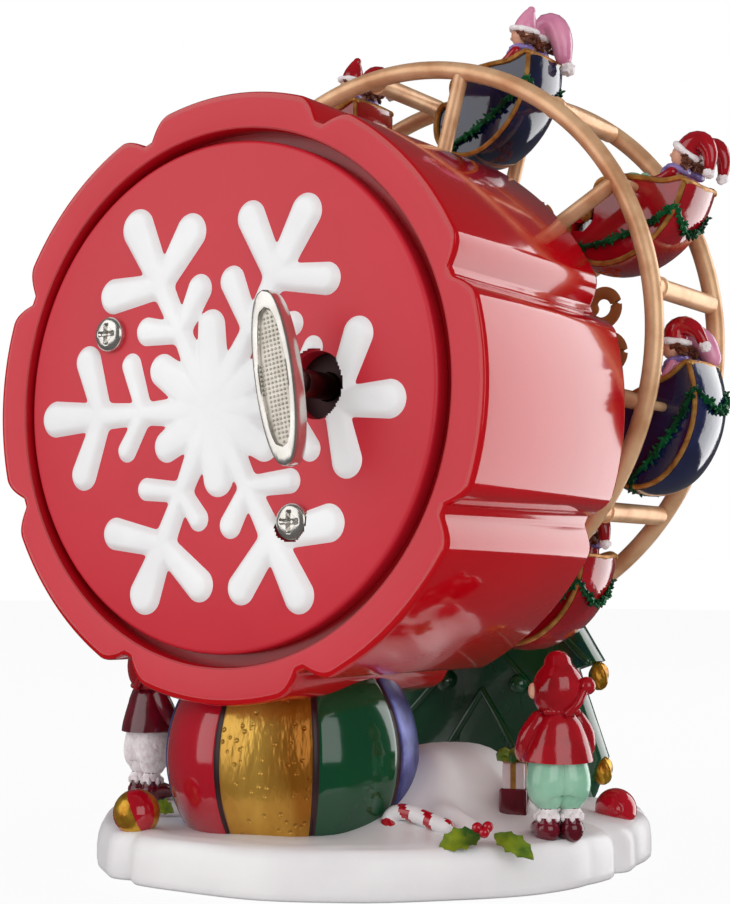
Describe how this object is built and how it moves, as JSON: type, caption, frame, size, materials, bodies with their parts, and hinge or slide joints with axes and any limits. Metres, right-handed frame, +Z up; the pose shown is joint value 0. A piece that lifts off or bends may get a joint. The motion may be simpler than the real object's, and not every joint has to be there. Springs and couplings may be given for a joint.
{
  "type": "musical ferris wheel",
  "caption": "Wind-up musical figurine: a lobed drum on an ornament ball turns a small ferris wheel of sleighs in front of a tree stand on a snow base.",
  "frame": {"origin": "centre of the flat underside of the snow base", "axes": "+Z up; +Y towards the winding key; -Y towards the wheel; +X to the left of a viewer who faces the key"},
  "size_m": [0.1194, 0.1047, 0.1543],
  "materials": {
    "snow_resin": "satin white cast resin",
    "red_resin": "high gloss painted resin",
    "red_satin": "satin red",
    "white_relief": "satin white",
    "green_resin": "gloss green",
    "gold_trim": "gold paint",
    "gold_frame": "satin antique gold",
    "sleigh_red": "gloss red",
    "sleigh_blue": "gloss dark blue",
    "rider_paint": "painted cast resin",
    "gift_paint": "painted",
    "steel": "bright",
    "cast_plate": "cast",
    "brass": "bright"
  },
  "bodies": {
    "figurine": {"ornament_ball": "red_resin", "gold_bauble_upper_right": "gold_trim", "gold_bauble_upper_left": "gold_trim", "gold_bauble_lower_right": "gold_trim", "gold_bauble_lower_left": "gold_trim", "tree_stand": "green_resin", "right_elf": "red_resin", "left_elf": "red_resin", "gift_stack": "gift_paint", "red_ornament": "red_resin", "striped_ornament": "red_resin", "candy_cane": "white_relief", "holly_right": "green_resin", "holly_left": "green_resin", "snow_base": "snow_resin", "drum_housing": "red_resin", "front_bush": "brass", "rear_cover": "red_satin", "snowflake_relief": "white_relief", "cover_screw_1": "steel", "cover_screw_2": "steel", "movement_plate": "cast_plate", "tone_comb": "steel", "governor_block": "brass"},
    "key": {"winding_key": "steel", "key_arbor": "steel"},
    "barrel": {"spring_barrel": "brass", "mainspring": "steel"},
    "cylinder": {"music_cylinder": "brass"},
    "fan": {"governor_fan": "steel"},
    "wheel": {"rear_wheel_frame": "gold_frame", "front_wheel_frame": "gold_frame", "output_gear": "brass", "wheel_axle": "steel", "pivot_pin_1": "steel", "pivot_pin_2": "steel", "pivot_pin_3": "steel", "pivot_pin_4": "steel", "pivot_pin_5": "steel", "pivot_pin_6": "steel", "pivot_pin_7": "steel", "pivot_pin_8": "steel"},
    "gondola_1": {"sleigh_1": "sleigh_red", "riders_1": "rider_paint"},
    "gondola_2": {"sleigh_2": "sleigh_blue", "riders_2": "rider_paint"},
    "gondola_3": {"sleigh_3": "sleigh_red", "riders_3": "rider_paint"},
    "gondola_4": {"sleigh_4": "sleigh_blue", "riders_4": "rider_paint"},
    "gondola_5": {"sleigh_5": "sleigh_red", "riders_5": "rider_paint"},
    "gondola_6": {"sleigh_6": "sleigh_blue", "riders_6": "rider_paint"},
    "gondola_7": {"sleigh_7": "sleigh_red", "riders_7": "rider_paint"},
    "gondola_8": {"sleigh_8": "sleigh_blue", "riders_8": "rider_paint"}
  },
  "joints": [
    {"name": "wheel_spin", "type": "hinge", "parent": "figurine", "child": "wheel", "pos_m": [0, 0, 0.091], "axis": [0, 1, 0], "continuous": true},
    {"name": "key_wind", "type": "hinge", "parent": "figurine", "child": "key", "pos_m": [-0.0184, 0.0497, 0.0778], "axis": [0, 1, 0], "continuous": true},
    {"name": "barrel_spin", "type": "hinge", "parent": "figurine", "child": "barrel", "pos_m": [-0.0184, 0.02, 0.0778], "axis": [0, 1, 0], "continuous": true},
    {"name": "cylinder_spin", "type": "hinge", "parent": "figurine", "child": "cylinder", "pos_m": [0, 0.02675, 0.0778], "axis": [1, 0, 0], "continuous": true},
    {"name": "fan_spin", "type": "hinge", "parent": "figurine", "child": "fan", "pos_m": [0.0246, 0.02675, 0.086], "axis": [0, 0, 1], "continuous": true},
    {"name": "gondola_1_pivot", "type": "hinge", "parent": "wheel", "child": "gondola_1", "pos_m": [-0.04417, -0.0245, 0.1165], "axis": [0, 1, 0], "continuous": true},
    {"name": "gondola_2_pivot", "type": "hinge", "parent": "wheel", "child": "gondola_2", "pos_m": [-0.0132, -0.0245, 0.14026], "axis": [0, 1, 0], "continuous": true},
    {"name": "gondola_3_pivot", "type": "hinge", "parent": "wheel", "child": "gondola_3", "pos_m": [0.0255, -0.0245, 0.13517], "axis": [0, 1, 0], "continuous": true},
    {"name": "gondola_4_pivot", "type": "hinge", "parent": "wheel", "child": "gondola_4", "pos_m": [0.04926, -0.0245, 0.1042], "axis": [0, 1, 0], "continuous": true},
    {"name": "gondola_5_pivot", "type": "hinge", "parent": "wheel", "child": "gondola_5", "pos_m": [0.04417, -0.0245, 0.0655], "axis": [0, 1, 0], "continuous": true},
    {"name": "gondola_6_pivot", "type": "hinge", "parent": "wheel", "child": "gondola_6", "pos_m": [0.0132, -0.0245, 0.04174], "axis": [0, 1, 0], "continuous": true},
    {"name": "gondola_7_pivot", "type": "hinge", "parent": "wheel", "child": "gondola_7", "pos_m": [-0.0255, -0.0245, 0.04683], "axis": [0, 1, 0], "continuous": true},
    {"name": "gondola_8_pivot", "type": "hinge", "parent": "wheel", "child": "gondola_8", "pos_m": [-0.04926, -0.0245, 0.0778], "axis": [0, 1, 0], "continuous": true}
  ],
  "couplings": [
    {"joint": "barrel_spin", "follows": "wheel_spin", "ratio": -0.66667},
    {"joint": "cylinder_spin", "follows": "wheel_spin", "ratio": 1.3333},
    {"joint": "fan_spin", "follows": "wheel_spin", "ratio": 8},
    {"joint": "gondola_1_pivot", "follows": "wheel_spin", "ratio": -1},
    {"joint": "gondola_2_pivot", "follows": "wheel_spin", "ratio": -1},
    {"joint": "gondola_3_pivot", "follows": "wheel_spin", "ratio": -1},
    {"joint": "gondola_4_pivot", "follows": "wheel_spin", "ratio": -1},
    {"joint": "gondola_5_pivot", "follows": "wheel_spin", "ratio": -1},
    {"joint": "gondola_6_pivot", "follows": "wheel_spin", "ratio": -1},
    {"joint": "gondola_7_pivot", "follows": "wheel_spin", "ratio": -1},
    {"joint": "gondola_8_pivot", "follows": "wheel_spin", "ratio": -1}
  ]
}
